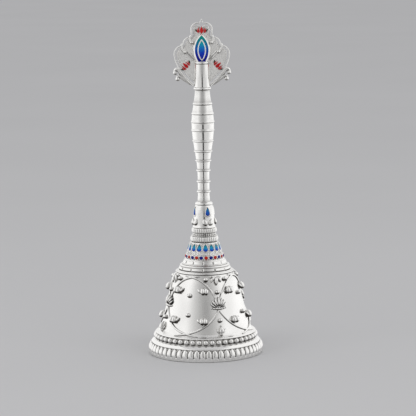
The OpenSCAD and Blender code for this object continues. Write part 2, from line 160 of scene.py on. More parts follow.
class Form:
    """The vertices and faces of one piece, in millimetres. glow is 1 in the middle of a domed enamel, where
    the material paints a brighter glow into its colour.
    """

    def __init__(self):
        self.verts = []
        self.faces = []
        self.glow = []

    def ring(self, points, glow=0.0):
        start = len(self.verts)
        self.verts += [tuple(p) for p in points]
        self.glow += [glow] * len(points)
        return list(range(start, len(self.verts)))

    def skin(self, a, b):
        count = max(len(a), len(b))
        for i in range(count):
            j = (i + 1) % count
            corners_here = [a[i % len(a)], a[j % len(a)], b[j % len(b)], b[i % len(b)]]
            self.faces.append([v for k, v in enumerate(corners_here) if v not in corners_here[:k]])

    def loft(self, rings, glows=None, loop=False, place=None):
        """Closed skin through a list of rings: the ends are points or are filled flat."""
        if place:
            rings = [[place(*p) for p in r] for r in rings]
        made = [self.ring(r, glows[i] if glows else 0.0) for i, r in enumerate(rings)]
        for a, b in zip(made, made[1:]):
            self.skin(a, b)
        if loop:
            self.skin(made[-1], made[0])
            return
        for end in (made[0], made[-1]):
            if len(end) > 2:
                self.faces.append(end)

    def tube(self, path, radius, sides=10, place=None):
        """A round wire along a path, with round ends. radius is a number or a function of the way along."""
        path = [Vector(p) for p in path]
        size = radius if callable(radius) else (lambda along: radius)
        tangents = [(path[min(i + 1, len(path) - 1)] - path[max(i - 1, 0)]).normalized()
                    for i in range(len(path))]
        side = tangents[0].orthogonal().normalized()
        rings = []
        for i, (p, t) in enumerate(zip(path, tangents)):
            side = (side - t * side.dot(t)).normalized()
            across = t.cross(side)
            r = size(i / (len(path) - 1))
            slices = ROUND_END[:1]
            if i == 0:
                slices = [(-shift, share) for shift, share in ROUND_END[::-1]]
            if i == len(path) - 1:
                slices = ROUND_END
            for shift, share in slices:
                centre = p + t * shift * r
                rings.append([centre + share * r * (math.cos(a) * side + math.sin(a) * across)
                              for a in turns(sides if share else 1)])
        self.loft(rings, place=place)

    def ball(self, centre, radius, place=None, rows=10, sides=16):
        """A round granule."""
        rings = []
        for i in range(rows + 1):
            a = math.pi * i / rows
            wide = radius * math.sin(a)
            z = -radius * math.cos(a)
            rings.append([Vector((wide * math.cos(b), wide * math.sin(b), z)) + Vector(centre)
                          for b in turns(sides if 0 < i < rows else 1)])
        self.loft(rings, place=place)

    def leaf(self, path, half_width, half_thick, place, crease=0.0, sides=14):
        """A puffed petal along a path: half_width and half_thick are functions of the way along it.

        The third coordinate of the path is the height off the surface that place maps onto.
        crease sinks the line along the middle of its face.
        """
        path = [Vector(p) for p in path]
        out = Vector((0, 0, 1))
        rings = []
        for i, p in enumerate(path):
            along = i / (len(path) - 1)
            if i in (0, len(path) - 1):
                rings.append([p])
                continue
            t = (path[i + 1] - path[i - 1]).normalized()
            side = t.cross(out).normalized()
            up = side.cross(t)
            ring = []
            for a in turns(sides):
                rise = math.sin(a) * half_thick(along)
                if rise > 0:
                    rise *= 1 - crease * math.exp(-(math.cos(a) / CREASE_WIDTH) ** 2)
                ring.append(p + side * math.cos(a) * half_width(along) + up * rise)
            rings.append(ring)
        self.loft(rings, place=place)

    def dome(self, outline, centre, height, depth, place, rows=6):
        """A domed stone or enamel filling a flat outline: its edge is at 0, its back at -depth."""
        def ring(share, h):
            return [place(centre[0] + (x - centre[0]) * share, centre[1] + (y - centre[1]) * share, h)
                    for x, y in outline]
        rings = [ring(1, -depth), ring(1, 0)]
        # glow rises to 1 at the middle of the dome, where the enamel paints a brighter glow.
        glows = [0.0, 0.0]
        for i in range(1, rows):
            share = math.cos(math.pi / 2 * i / rows)
            rings.append(ring(share, height * math.sin(math.pi / 2 * i / rows)))
            glows.append(1 - share)
        rings.append([place(centre[0], centre[1], height)])
        glows.append(1.0)
        self.loft(rings, glows)

    def turned(self, profile, count=144, relief=None, poles=False):
        """A body of revolution. profile is a closed (radius, z) outline, run anticlockwise, or runs from pole
        to pole. relief(azimuth, radius, z) moves the surface along its normal."""
        line = np.array(profile, float)
        azimuth = np.arange(count) * 360 / count
        if poles:
            tangent = np.gradient(line, axis=0)
        else:
            tangent = np.roll(line, -1, 0) - np.roll(line, 1, 0)
        normal = np.stack([tangent[:, 1], -tangent[:, 0]], 1)
        normal /= np.linalg.norm(normal, axis=1, keepdims=True)
        offset = np.zeros((len(line), count))
        if relief:
            offset = offset + relief(azimuth[None, :], line[:, :1], line[:, 1:])
        radius = line[:, :1] + normal[:, :1] * offset
        z = line[:, 1:] + normal[:, 1:] * offset
        a = np.radians(azimuth)[None, :]
        points = np.stack([radius * np.sin(a), -radius * np.cos(a), z], 2)
        rings = [[tuple(p) for p in row] for row in points]
        if poles:
            rings[0] = rings[0][:1]
            rings[-1] = rings[-1][:1]
        self.loft(rings, loop=not poles)


def lathe(outline, ease, step=0.0, count=192, relief=None):
    """A form turned from an outline with its corners rounded. step divides its edges for the relief."""
    outline = eased(outline, ease)
    form = Form()
    form.turned(dense(outline, step) if step else outline, count, relief)
    return form


RELAX_ROUNDS = 8
DEEP_HOLLOW = 0.00022   # metres below its surroundings at which a vertex counts as fully sunk
UNDER_FADE = 0.28


def column(items, key, width, kind=float):
    """A value of every vertex or edge, as rows of this width."""
    values = np.empty(len(items) * width, kind)
    items.foreach_get(key, values)
    return values.reshape(-1, width)


def tarnish_and_painted_shade(mesh, under, dark_from):
    """How dark each vertex is made, from 0 to 1: tarnish by how far it is sunk below its neighbours, and
    painted shade on what faces down.

    under sets the strength of that painted shade. It starts where minus the normal's z is dark_from.
    """
    count = len(mesh.vertices)
    places = column(mesh.vertices, "co", 3)
    ends = column(mesh.edges, "vertices", 2, np.int64)
    first, second = ends.T
    neighbours = np.maximum(np.bincount(ends.ravel(), minlength=count), 1)
    relaxed = places
    for _ in range(RELAX_ROUNDS):
        relaxed = np.stack([(np.bincount(first, relaxed[second, axis], count)
                             + np.bincount(second, relaxed[first, axis], count)) / neighbours
                            for axis in range(3)], 1)
    normals = column(mesh.vertex_normals, "vector", 3)
    sunk = np.clip(((relaxed - places) * normals).sum(1) / DEEP_HOLLOW, 0, 1)
    # Sunk places take tarnish; what faces down takes painted shade.
    return np.maximum(sunk, under * smooth_step((-normals[:, 2] - dark_from) / UNDER_FADE))


def show(name, data):
    """Links a mesh, a light or a camera into the scene as an object."""
    obj = bpy.data.objects.new(name, data)
    bpy.context.scene.collection.objects.link(obj)
    return obj


def piece(name, form, material, node, body=BELL, crease=42, under=0.0, dark_from=0.16):
    """Makes a form into a shown piece that rides on a body and stands for a CAD node.

    crease is the least angle of a sharp edge, in degrees. under and dark_from set the painted shade on what
    faces down.
    """
    mesh = bpy.data.meshes.new(name)
    mesh.from_pydata([tuple(c * MM for c in v) for v in form.verts], [], form.faces)
    work = bmesh.new()
    work.from_mesh(mesh)
    bmesh.ops.recalc_face_normals(work, faces=work.faces)
    work.to_mesh(mesh)
    work.free()
    # Tarnish in sunk places and painted shade on what faces down, read by the silver materials.
    mesh.attributes.new("tarnish_shade_mask", "FLOAT", "POINT").data.foreach_set("value", tarnish_and_painted_shade(mesh, under, dark_from))
    mesh.attributes.new("glow", "FLOAT", "POINT").data.foreach_set("value", form.glow)
    mesh.shade_smooth()
    mesh.set_sharp_from_angle(angle=math.radians(crease))
    mesh.materials.append(material)
    obj = show(name, mesh)
    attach(obj, body)
    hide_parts(node)


# ---------------------------------------------------------------- materials

class Nodes:
    """A short way to write a node material."""

    def __init__(self, name):
        self.material = bpy.data.materials.new(name)
        self.material.use_nodes = True
        self.tree = self.material.node_tree
        self.shader = self.tree.nodes["Principled BSDF"]
        self.here = self.add("ShaderNodeTexCoord").outputs["Object"]

    def add(self, kind, inputs=None, **settings):
        node = self.tree.nodes.new(kind)
        for key, value in settings.items():
            setattr(node, key, value)
        for key, value in (inputs or {}).items():
            if isinstance(value, bpy.types.NodeSocket):
                self.tree.links.new(value, node.inputs[key])
            else:
                node.inputs[key].default_value = value
        return node

    def math(self, operation, a, b=0.0, clamp=False):
        return self.add("ShaderNodeMath", {0: a, 1: b}, operation=operation, use_clamp=clamp).outputs[0]

    def split(self):
        """The X, Y and Z of the place on the piece."""
        return self.add("ShaderNodeSeparateXYZ", {0: self.here}).outputs

    def set(self, **values):
        """Sets plain inputs of the shader. An underscore stands for a space."""
        for key, value in values.items():
            self.shader.inputs[key.replace("_", " ")].default_value = value

    def noise(self, scale, detail=3.0, where=None):
        inputs = {"Vector": where or self.here, "Scale": scale, "Detail": detail}
        return self.add("ShaderNodeTexNoise", inputs).outputs["Fac"]

    def ranged(self, value, low, high):
        """value, which runs from 0 to 1, spread from low to high."""
        return self.add("ShaderNodeMapRange", {"Value": value, "To Min": low, "To Max": high}).outputs[0]

    def ramp(self, value, stops):
        node = self.add("ShaderNodeValToRGB", {"Fac": value})
        ramp = node.color_ramp
        while len(ramp.elements) < len(stops):
            ramp.elements.new(0.5)
        for element, (position, color) in zip(ramp.elements, stops):
            element.position = position
            element.color = (*color, 1)
        return node.outputs["Color"]

    def mix(self, share, a, b):
        node = self.add("ShaderNodeMix", data_type="RGBA")
        for socket, value in zip((node.inputs[0], node.inputs[6], node.inputs[7]), (share, a, b)):
            if isinstance(value, bpy.types.NodeSocket):
                self.tree.links.new(value, socket)
            else:
                socket.default_value = value if isinstance(value, float) else (*value, 1)
        return node.outputs[2]

    def attribute(self, name):
        return self.add("ShaderNodeAttribute", attribute_name=name).outputs["Fac"]

    def bump(self, height, strength, distance):
        inputs = {"Height": height, "Strength": strength, "Distance": distance}
        self.tree.links.new(self.add("ShaderNodeBump", inputs).outputs[0], self.shader.inputs["Normal"])

    def wire(self, socket, name):
        self.tree.links.new(socket, self.shader.inputs[name])


SILVER_COLOR = (0.93, 0.925, 0.91)
WORN_COLOR = (0.80, 0.785, 0.765)
# The dark colour laid on the silver both as tarnish and as painted shade.
TARNISH_AND_SHADE_COLOR = (0.055, 0.048, 0.042)
SHADE_REACH = 0.0011    # metres over which nearby metal counts as closing a place in
SHADE_FROM = 0.52
SHADE_GAIN = 1.5
FINE_RELIEF = 0.00005   # metres
RAY_CENTRE_Z = 0.150    # the engraved rays fan out from this height, in metres
RAY_DENSITY = 210.0


def silver(name, roughness, tarnish_and_shade_strength, hammer=0.12, rays=False):
    """Polished silver darkened where it is sunk, closed in or faces down: partly tarnish in its recesses,
    partly painted shade in creases, at the joins between parts and on what faces down. rays cuts fine lines
    that fan out of the handle.
    """
    n = Nodes(name)
    cloud = n.noise(70.0, 4.0)
    grain = n.noise(2600.0, 3.0)
    stretched = n.add("ShaderNodeMapping", {"Vector": n.here, "Scale": (1.0, 1.0, 0.12)}).outputs[0]
    brushed = n.noise(4200.0, 2.0, stretched)
    # Ambient occlusion darkens creases and the joins between parts: partly tarnish, partly painted shade.
    openness = n.add("ShaderNodeAmbientOcclusion", {"Distance": SHADE_REACH}, samples=6).outputs["AO"]
    shade = n.math("SUBTRACT", 1.0, openness)
    shade = n.math("MULTIPLY", n.math("SUBTRACT", shade, SHADE_FROM), SHADE_GAIN, clamp=True)
    # The mesh attribute adds tarnish in sunk places and painted shade on what faces down.
    dark = n.math("MAXIMUM", n.attribute("tarnish_shade_mask"), shade)
    dark = n.math("MULTIPLY", dark, n.ranged(cloud, 0.75, 1.25))
    dark = n.math("MULTIPLY", dark, tarnish_and_shade_strength, clamp=True)
    metal = n.mix(n.ranged(cloud, 0.0, 0.55), SILVER_COLOR, WORN_COLOR)
    # Mixes the metal towards the dark colour of tarnish and painted shade.
    n.wire(n.mix(dark, metal, TARNISH_AND_SHADE_COLOR), "Base Color")
    rough = n.math("ADD", n.ranged(cloud, roughness - 0.04, roughness + 0.05), n.ranged(brushed, -0.03, 0.05))
    n.wire(n.math("ADD", rough, n.math("MULTIPLY", dark, 0.3), clamp=True), "Roughness")
    n.set(Metallic=1.0)
    height = n.math("ADD", n.math("MULTIPLY", grain, 0.5), n.math("MULTIPLY", brushed, 0.5))
    if rays:
        parts = n.split()
        fan = n.math("ARCTAN2", parts["X"], n.math("SUBTRACT", parts["Z"], RAY_CENTRE_Z))
        lines = n.math("SINE", n.math("MULTIPLY", fan, RAY_DENSITY))
        height = n.math("ADD", n.math("MULTIPLY", lines, 1.5), height)
    n.bump(height, hammer, FINE_RELIEF)
    return n.material


def steel():
    """Turned steel: fine rings from the tool, no patina."""
    n = Nodes("turned_steel")
    tool_rings = 24000.0
    rings = n.math("SINE", n.math("MULTIPLY", n.split()["Z"], tool_rings))
    cloud = n.noise(300.0, 4.0)
    n.wire(n.mix(cloud, (0.62, 0.63, 0.65), (0.42, 0.43, 0.46)), "Base Color")
    n.wire(n.ranged(cloud, 0.26, 0.44), "Roughness")
    n.set(Metallic=1.0)
    n.bump(n.math("ADD", rings, cloud), 0.2, 0.00003)
    return n.material


def enamel(name, heights, stops, glow_color):
    """Glassy enamel that changes colour between two heights, with a painted glow that brightens its middle.
    """
    n = Nodes(name)
    low, high = heights
    inputs = {"Value": n.split()["Z"], "From Min": low * MM, "From Max": high * MM}
    height = n.add("ShaderNodeMapRange", inputs).outputs[0]
    cloud = n.noise(900.0, 3.0)
    height = n.math("ADD", height, n.ranged(cloud, -0.05, 0.05), clamp=True)
    color = n.ramp(height, stops)
    # Painted glow: the middle of each dome is mixed towards a brighter colour, standing in for light through
    # the enamel.
    shine = n.math("MULTIPLY", n.attribute("glow"), n.ranged(cloud, 0.22, 0.42))
    n.wire(n.mix(shine, color, glow_color), "Base Color")
    n.wire(n.ranged(cloud, 0.10, 0.22), "Roughness")
    n.set(Coat_Weight=0.15, Coat_Roughness=0.04, Specular_IOR_Level=0.22)
    n.bump(n.noise(700.0, 2.0), 0.12, 0.00006)
    return n.material


def floor_paint():
    """A plain pale matt sheet."""
    n = Nodes("pale_floor")
    cloud = n.noise(3.0, 2.0)
    n.wire(n.mix(cloud, (0.66, 0.66, 0.665), (0.70, 0.70, 0.705)), "Base Color")
    n.wire(n.ranged(cloud, 0.84, 0.90), "Roughness")
    n.set(Specular_IOR_Level=0.0)
    return n.material


wall_silver = silver("satin_silver", 0.20, 0.9, hammer=0.06)
bright_silver = silver("bright_silver", 0.14, 1.0, hammer=0.08)
relief_silver = silver("relief_silver", 0.17, 1.15, hammer=0.10)
channel_silver = silver("channel_silver", 0.26, 0.12)
frosted_silver = silver("frosted_silver", 0.26, 0.45, hammer=0.06)
plate_silver = silver("engraved_silver", 0.46, 0.7, hammer=0.30, rays=True)
machined = steel()


# ---------------------------------------------------------------- heights where the stacked pieces meet

foot_top = top("foot_gadroon_band")
wall_low_z = top("bead_channel")
ledge_z = bottom("lower_step_ring")
upper_step_z = bottom("upper_step_ring")
seat_z = bottom("crown_seat")
dots_z = bottom("dot_ring")
cone_z = bottom("drop_cone")
lower_ring_z = bottom("lower_gadroon_ring")
collar_z = bottom("cavetto_collar")
upper_ring_z = bottom("upper_gadroon_ring")
knop_z = bottom("knop")
grip_z = bottom("handle_grip")
tube_z = bottom("crest_tube")
crest_collar_z = bottom("crest_collar")
crest_base_z = top("crest_collar")
crest_top_z = top("crest_rim")
ceiling_z = top("crown_washer")
bore_r = 2.1

# ---------------------------------------------------------------- the bell wall and what lies on it

skirt_r = 29.2
wall_t = 1.8
waist = Vector((27.9, wall_low_z))
waist_handle = Vector((24.0, wall_low_z + 9.2))
shoulder = Vector((18.4, ledge_z - 2.3))
shoulder_handle = Vector((22.6, shoulder.y - 8.6))
ledge_r = 17.6
ledge_in = 15.4
crown_in = 11
ceiling_r = 9.5
wall_curve = [cubic(waist, waist_handle, shoulder_handle, shoulder, i / 60) for i in range(61)]
flare = [Vector((waist.x + out, wall_low_z - down)) for out, down in
         ((2.8, 2.25), (2.3, 1.8), (1.4, 1.3), (0.6, 0.7), (0.2, 0.3))]
wall_heights = [p.y for p in flare + wall_curve] + [ledge_z]
wall_radii = [p.x for p in flare + wall_curve] + [ledge_r]


def wall_r(z):
    return float(np.interp(z, wall_heights, wall_radii))


def wall_tilt(z):
    """How far the wall leans in at a height, in radians."""
    near = 0.7
    return math.atan2(wall_r(z - near) - wall_r(z + near), 2 * near)


def on_wall(azimuth, z):
    """Maps (across, up, out) onto the curved bell wall round a point of it."""
    rise = math.cos(wall_tilt(z))

    def place(across, up, out):
        height = z + up * rise
        tilt = wall_tilt(height)
        radius = wall_r(height)
        turn = azimuth + math.degrees(across / radius)
        return round_axis(turn, radius + out * math.cos(tilt), height + out * math.sin(tilt))
    return place


def on_cone(azimuth, radius, z, lean):
    """Maps (across, up, out) onto a plain cone that leans in by lean degrees."""
    tilt = math.radians(lean)

    def place(across, up, out):
        here = radius - up * math.sin(tilt)
        turn = azimuth + math.degrees(across / here)
        return round_axis(turn, here + out * math.cos(tilt), z + up * math.cos(tilt) + out * math.sin(tilt))
    return place


def bell_wall():
    inner = []
    for before, here, after in zip(wall_curve, wall_curve[1:], wall_curve[2:]):
        along = (after - before).normalized()
        inner.append(tuple(here - wall_t * Vector((along.y, -along.x))))
    outline = [(skirt_r - wall_t, 0), (skirt_r, 0)]
    outline += [tuple(p) for p in wall_curve]
    outline += [(ledge_r, ledge_z), (ledge_in, ledge_z), (crown_in, seat_z), (bore_r, seat_z),
                (bore_r, ceiling_z), (ceiling_r, ceiling_z)]
    form = Form()
    form.turned(outline + inner[::-1], 192)
    piece("bell_wall", form, wall_silver, "bell_shell")


tongue_count = 58
tongue_low_z = 1.7
tongue_high_z = 7.5
tongue_round_z = 4.8     # above this height a tongue's end closes in a round arch
tongue_arch_h = 2.4
tongue_share = 0.92      # of the pitch
tongue_depth = 0.75
tongue_in = 31.5
foot_r = reach("foot_gadroon_band")
skirt_in = skirt_r - (skirt_r - waist.x) * foot_top / wall_low_z


def tongues(azimuth, radius, z):
    """A row of upright rounded tongues, cut into the outside of the foot."""
    across = np.abs(np.mod(azimuth * tongue_count / 360, 1) * 2 - 1)
    arch = np.sqrt(np.clip(1 - (np.clip(z - tongue_round_z, 0, None) / tongue_arch_h) ** 2, 0, 1))
    lobe = np.sqrt(np.clip(1 - (across / np.maximum(tongue_share * arch, 0.01)) ** 2.4, 0, 1))
    band = smooth_step((z - tongue_low_z) / 0.5) * smooth_step((tongue_high_z - z) / 0.4)
    return -tongue_depth * band * (radius > tongue_in) * (1 - lobe)


def foot_band():
    outside = [(0.7, 0), (0.4, 0.6), (0.4, 1.3), (0, 2.6), (0.1, 3.8), (0.6, 5.4), (1.5, 6.9), (2.6, 8.1),
               (4, foot_top)]
    outline = [(skirt_r, 0)] + [(foot_r - inward, z) for inward, z in outside] + [(skirt_in, foot_top)]
    form = lathe(outline, 0.5, 0.3, tongue_count * 14, tongues)
    piece("foot_band", form, relief_silver, "foot_gadroon_band")


bead_count = 48
bead_r = (top("foot_beads") - bottom("foot_beads")) / 2
bead_ring_r = reach("foot_beads") - bead_r
bead_z = bottom("foot_beads") + bead_r


def bead_band():
    channel = above(foot_top, [(skirt_in, 0), (foot_r - 4, 0), (31.1, 0.3), (29.6, 0.5), (29.2, 1.2)])
    channel += above(wall_low_z, [(29.2, -3.1), (30.4, -2.6)]) + [tuple(p) for p in flare]
    channel += [(waist.x, wall_low_z)]
    piece("bead_channel_ring", lathe(channel, 0.25), channel_silver, "bead_channel")
    beads = Form()
    for i in range(bead_count):
        place = on_cone(360 * i / bead_count + 90, bead_ring_r, bead_z, 0)
        beads.ball((0, 0, 0), bead_r, place, rows=12, sides=20)
    piece("bead_row", beads, bright_silver, "foot_beads", under=0.9, dark_from=0.34)


blossom_axes = [20 + 90 * k for k in range(4)]
blossom_z = 31.0
hanging_z = 48.4
lily_z = 15.6
vine_r = 0.66
vine_span = 60           # degrees from a blossom to where a strand ends
# A strand's height at its blossom, its climb, and the degrees in which most of the climb is done.
lower_vine = (30, -17, 24)
upper_vine = (33, 16.7, 16)


def vines():
    form = Form()
    steps = 40
    for axis in blossom_axes:
        for side in (-1, 1):
            for start, climb, settle in (lower_vine, upper_vine):
                path = []
                for i in range(steps + 1):
                    turn = vine_span * (i / steps) ** 1.4
                    z = start + climb * (1 - math.exp(-turn / settle))
                    path.append(on_wall(axis + side * turn, z)(0, 0, 0.15))
                form.tube(path, lambda along: vine_r - 0.25 * max(0, along - 0.8) / 0.2, 10)
    piece("vine_strands", form, relief_silver, "vine_wires", under=0.8)


def petal_shape(size, peak=0.42, point=1.0):
    """Half size of a petal along its length: nothing at both ends and size at peak."""
    def shape(along):
        if along < peak:
            return size * math.sin(math.pi / 2 * along / peak) ** 0.6
        return size * math.cos(math.pi / 2 * (along - peak) / (1 - peak)) ** point
    return shape


def petal(form, place, root, lean, length, width, thick, curl=0.0, lift=0.9, crease=0.0, point=0.9,
          peak=0.45):
    """One petal from root, leaning from upright by lean degrees and bending further by curl."""
    path = []
    x, y = root
    steps = 9
    for i in range(steps + 1):
        along = i / steps
        path.append((x, y, 0.25 + lift * math.sin(math.pi * min(along * 0.9 + 0.1, 1)) ** 0.8))
        a = math.radians(lean + curl * along)
        x += length / steps * math.sin(a)
        y += length / steps * math.cos(a)
    form.leaf(path, petal_shape(width, peak, point), petal_shape(thick, 0.4, 0.8), place, crease)


def spray(form, place, side, petals):
    """Petals on one side: x and y of the root, lean, length, width, thickness, curl and lift of each."""
    for x, y, lean, length, width, thick, curl, lift in petals:
        petal(form, place, (side * x, y), side * lean, length, width, thick, side * curl, lift)


def open_blossoms():
    form = Form()
    for axis in blossom_axes:
        place = on_wall(axis, blossom_z)
        petal(form, place, (0, 0.6), 0, 6.2, 0.75, 1.0, lift=1.2)
        for side in (-1, 1):
            spray(form, place, side, [(0.7, 0.5, 17, 5.9, 0.7, 0.9, -4, 1.0),
                                      (1.3, 0.4, 36, 5.2, 0.68, 0.8, -16, 0.8),
                                      (1.9, 0.2, 60, 4.3, 0.62, 0.65, -34, 0.6)])
            for x, y, out, radius in ((1.5, -0.5, 0.5, 0.85), (3.0, -0.4, 0.4, 0.75), (4.3, -0.2, 0.2, 0.6)):
                form.ball((side * x, y, out), radius, place)
        form.ball((0, -0.5, 0.5), 0.95, place)
    piece("open_blossom_set", form, relief_silver, "open_blossoms", under=1.0, dark_from=0.06)


def hanging_blossoms():
    form = Form()
    for axis in blossom_axes:
        place = on_wall(axis, hanging_z)
        petal(form, place, (0, 0.4), 180, 5.2, 1.15, 1.1, lift=1.1, crease=0.3)
        for side in (-1, 1):
            spray(form, place, side, [(0.6, 0.4, 128, 4.4, 0.8, 0.8, 36, 0.8),
                                      (0.7, 0.5, 84, 3.2, 0.6, 0.6, 24, 0.5)])
    piece("hanging_blossom_set", form, relief_silver, "hanging_blossoms", under=0.7)


def lily_sprays():
    form = Form()
    for axis in blossom_axes:
        place = on_wall(axis, lily_z)
        petal(form, place, (0, -0.2), 0, 6.2, 1.5, 1.4, lift=1.2, point=1.3, peak=0.22)
        form.ball((0, 0.2, 0.5), 1.25, place)
        for side in (-1, 1):
            spray(form, place, side, [(1.5, 0.6, 26, 3.2, 0.45, 0.4, -8, 0.3)])
    piece("lily_spray_set", form, relief_silver, "lily_sprays", under=0.7, dark_from=0.34)


upper_bud = (21, 40.7)      # degrees from the blossom's axis, and height
lower_bud = (22.5, 23.2)
granule_r = 1.4
granule_places = [(0, 23.4), (0, 40), (45, 26.6), (45, 38.1), (-18.5, 47.3), (18.5, 47.3)]


def lotus_bud(form, place, side):
    """A half-open bud: two full petals pressed together, and a leaf on the side away from the blossom."""
    for way in (-1, 1):
        petal(form, place, (way * 0.8, -2.3), way * 9, 4.7, 1.35, 1.8, curl=-way * 20, lift=1.0, peak=0.4)
    spray(form, place, side, [(1.2, -1.2, 58, 4.2, 0.9, 0.9, -30, 0.5)])


def lotus_buds():
    form = Form()
    for axis in blossom_axes:
        for side in (-1, 1):
            for turn, z in (upper_bud, lower_bud):
                lotus_bud(form, on_wall(axis + side * turn, z), side)
    piece("lotus_bud_set", form, relief_silver, "lotus_buds", under=1.0, dark_from=0.08)


def granules():
    form = Form()
    for axis in blossom_axes:
        for turn, z in granule_places:
            form.ball((0, 0, 0.6), granule_r, on_wall(axis + turn, z), rows=12, sides=20)
    piece("granule_set", form, bright_silver, "granules", under=1.0, dark_from=-0.12)


# ---------------------------------------------------------------- the stepped crown

panel_count = 13
first_panel = -4.5
panel_in = 12
relief_in = 5       # the reliefs of the rings above stop at this radius


def panels(low, high, depth=0.32):
    """Relief of a row of plain panels parted by narrow grooves, between two heights."""
    def relief(azimuth, radius, z):
        across = np.abs(np.mod((azimuth - first_panel) * panel_count / 360, 1) * 2 - 1)
        groove = smooth_step((across - 0.87) / 0.07)
        edge = 1 - smooth_step((z - low) / 0.25) * smooth_step((high - z) / 0.25)
        cut = np.maximum(groove, edge) * (z > low - 0.5) * (z < high + 0.5)
        reach_in = smooth_step((z - low + 0.5) / 0.3) * smooth_step((high + 0.5 - z) / 0.3)
        return -depth * cut * reach_in * (radius > panel_in)
    return relief


def crown_steps():
    low = above(ledge_z, [(ledge_in, 0), (17.3, 0), (17.3, 0.2), (17.75, 0.4), (17.8, 0.8), (17.4, 1.1),
                          (16.7, 1.2)])
    low += [(16.6, upper_step_z), (14.1, upper_step_z)]
    piece("lower_step", lathe(low, 0.2, 0.15), relief_silver, "lower_step_ring", under=0.9)
    upper = above(upper_step_z, [(14.1, 0), (15.8, 0), (15.75, 0.9), (15.3, 2.1), (15.1, 2.5), (15.15, 2.8)])
    upper += [(14.4, seat_z), (crown_in, seat_z)]
    form = lathe(upper, 0.2, 0.2, panel_count * 26, panels(upper_step_z + 0.35, upper_step_z + 2.1))
    piece("upper_step", form, relief_silver, "upper_step_ring", under=0.6)
    seat = above(seat_z, [(bore_r, 0), (13.8, 0), (13.75, 0.7), (13.3, 1.1)])
    seat += [(12.5, dots_z - 0.25), (12.3, dots_z), (bore_r, dots_z)]
    form = lathe(seat, 0.3, 0.2, panel_count * 26, panels(seat_z + 0.9, dots_z - 0.3))
    piece("seat_ring", form, relief_silver, "crown_seat", under=0.6)


cabochon_count = 24
first_cabochon = 4.7
cabochon_seat_r = 11.1
cabochon_z = (top("red_cabochons") + bottom("red_cabochons")) / 2
cabochon_r = (top("red_cabochons") - bottom("red_cabochons")) / 2


def circle(radius, count=24):
    return [(radius * math.cos(a), radius * math.sin(a)) for a in turns(count)]


def loop_wire(form, outline, radius, place, out=0.0, sides=8):
    """A closed round wire along a flat outline."""
    points = [Vector((x, y, out)) for x, y in outline]
    up = Vector((0, 0, 1))
    rings = []
    for before, here, after in zip(points[-1:] + points[:-1], points, points[1:] + points[:1]):
        side = (after - before).normalized().cross(up)
        rings.append([here + radius * (math.cos(a) * side + math.sin(a) * up) for a in turns(sides)])
    form.loft(rings, loop=True, place=place)


def dot_ring():
    outline = above(dots_z, [(bore_r, 0), (12.1, 0), (12.1, 0.4), (11.5, 0.6), (11.2, 0.9)])
    outline += above(cone_z, [(11.1, -0.9), (11.25, -0.6), (11.5, -0.45), (11.5, 0), (bore_r, 0)])
    form = lathe(outline, 0.2)
    stones = {"red": Form(), "blue": Form()}
    for i in range(cabochon_count):
        place = on_cone(first_cabochon + 360 * i / cabochon_count, cabochon_seat_r, cabochon_z, 4)
        loop_wire(form, circle(cabochon_r + 0.2), 0.2, place, 0.3)
        stones["blue" if i % 2 else "red"].dome(circle(cabochon_r), (0, 0), 0.62, 0.5, lift(place, 0.3))
    piece("cabochon_ring", form, bright_silver, "dot_ring")
    heights = span("red_cabochons")
    stops = [(0, (0.34, 0.004, 0.002)), (1, (0.60, 0.02, 0.008))]
    red = enamel("red_enamel", heights, stops, (0.72, 0.05, 0.02))
    stops = [(0, (0.0, 0.0, 0.14)), (1, (0.0, 0.0, 0.22))]
    navy = enamel("navy_enamel", heights, stops, (0.0, 0.002, 0.34))
    piece("red_cabochon_row", stones["red"], red, "red_cabochons")
    piece("blue_cabochon_row", stones["blue"], navy, "blue_cabochons")


def lift(place, out):
    """The same mapping, raised by out."""
    return lambda x, y, h: place(x, y, h + out)


def drop_outline(radius, height, steps=18):
    """A drop: a round end of this radius round the origin and a point at this height."""
    corner = math.degrees(math.acos(radius / height))
    return [(0, height)] + arc((0, 0), radius, 90 + corner, 450 - corner, steps)


def eased_drop(radius, height):
    """The drop's outline with its straight flanks bowed out a little."""
    tip, *rest = drop_outline(radius, height)
    left, right = rest[0], rest[-1]

    def flank(a, b, way):
        points = []
        for i in range(1, 5):
            t = i / 5
            bow = 0.16 * radius * math.sin(math.pi * t)
            points.append((a[0] + (b[0] - a[0]) * t + way * bow, a[1] + (b[1] - a[1]) * t + 0.3 * bow))
        return points
    return [tip] + flank(tip, left, -1) + rest + flank(right, tip, 1)


BLUE_TO_TEAL = [(0.0, (0.0, 0.0, 0.36)), (0.25, (0.0, 0.03, 0.55)), (0.5, (0.0, 0.30, 0.58)),
                (0.75, (0.0, 0.24, 0.32)), (1.0, (0.0, 0.10, 0.12))]
drop_count = 16
first_drop = 3.7
drop_lean = 17
drop_seat_r = 9.54
drop_centre_z = cone_z + 3.6
drop_r = 1.33
drop_h = 3.1
drop_loop_r = 10.42


